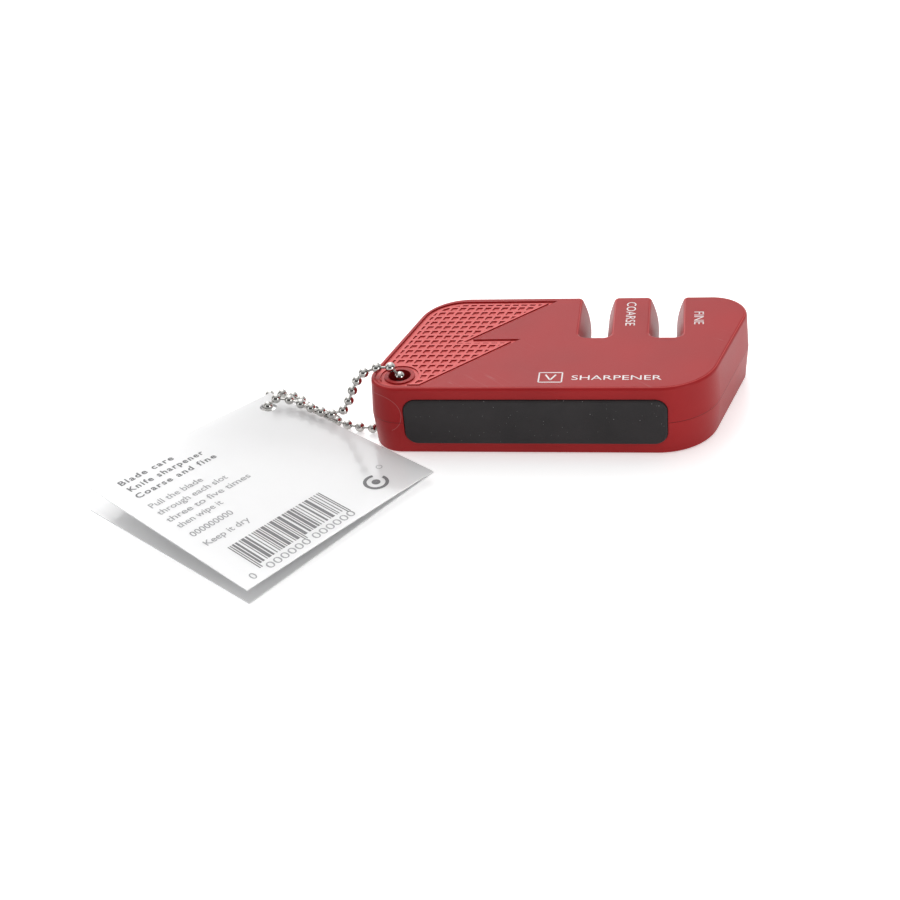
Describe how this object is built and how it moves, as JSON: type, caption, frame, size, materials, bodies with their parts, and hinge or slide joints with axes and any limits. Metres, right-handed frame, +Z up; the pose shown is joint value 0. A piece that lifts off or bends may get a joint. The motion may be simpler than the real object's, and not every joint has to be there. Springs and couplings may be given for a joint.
{
  "type": "pull-through knife sharpener",
  "caption": "Pocket pull-through edge sharpener: flat slanted moulded body with V-cutter slots, waffle grip and rubber pad, with a folded card tag on a bead chain.",
  "frame": {"origin": "centre of the sharpener's back face, on which it lies", "axes": "+X along the housing, away from the lanyard hole; +Y towards the edge that the slots open through; +Z up, out of the grip face"},
  "size_m": [0.1465, 0.0989, 0.0206],
  "materials": {
    "red_shell": "fine satin moulded plastic",
    "pad_rubber": "matt",
    "carrier_plastic": "matt",
    "carbide": "ground",
    "white_ceramic": "fine matt",
    "screw_steel": "zinc plated",
    "nickel_chain": "bright nickel plate",
    "card": "coated card"
  },
  "bodies": {
    "housing": {"upper_shell": "red_shell", "lower_shell": "red_shell", "grip_pad": "pad_rubber", "housing_screws": "screw_steel", "coarse_carrier": "carrier_plastic", "coarse_carrier_cap": "carrier_plastic", "coarse_cutter_left": "carbide", "coarse_cutter_right": "carbide", "fine_carrier": "carrier_plastic", "fine_carrier_cap": "carrier_plastic", "fine_cutter_left": "white_ceramic", "fine_cutter_right": "white_ceramic"},
    "chain": {"bead_chain": "nickel_chain", "chain_connector": "nickel_chain"},
    "tag_front": {"tag_front_leaf": "card"},
    "tag_back": {"tag_back_leaf": "card"}
  },
  "joints": [
    {"name": "chain_swing", "type": "hinge", "parent": "housing", "child": "chain", "pos_m": [-0.0362, -0.0154, 0.009], "axis": [0, 0, 1], "range_deg": [-6, 6]},
    {"name": "tag_swing", "type": "hinge", "parent": "chain", "child": "tag_front", "pos_m": [-0.07078, -0.00784, 0.0032], "axis": [0, 0, 1], "range_deg": [-20, 1.5]},
    {"name": "tag_fold", "type": "hinge", "parent": "tag_front", "child": "tag_back", "pos_m": [-0.04955, -0.01673, 0.00352], "axis": [-0.8126, 0.5828, 0], "range_deg": [-3, 8]}
  ]
}
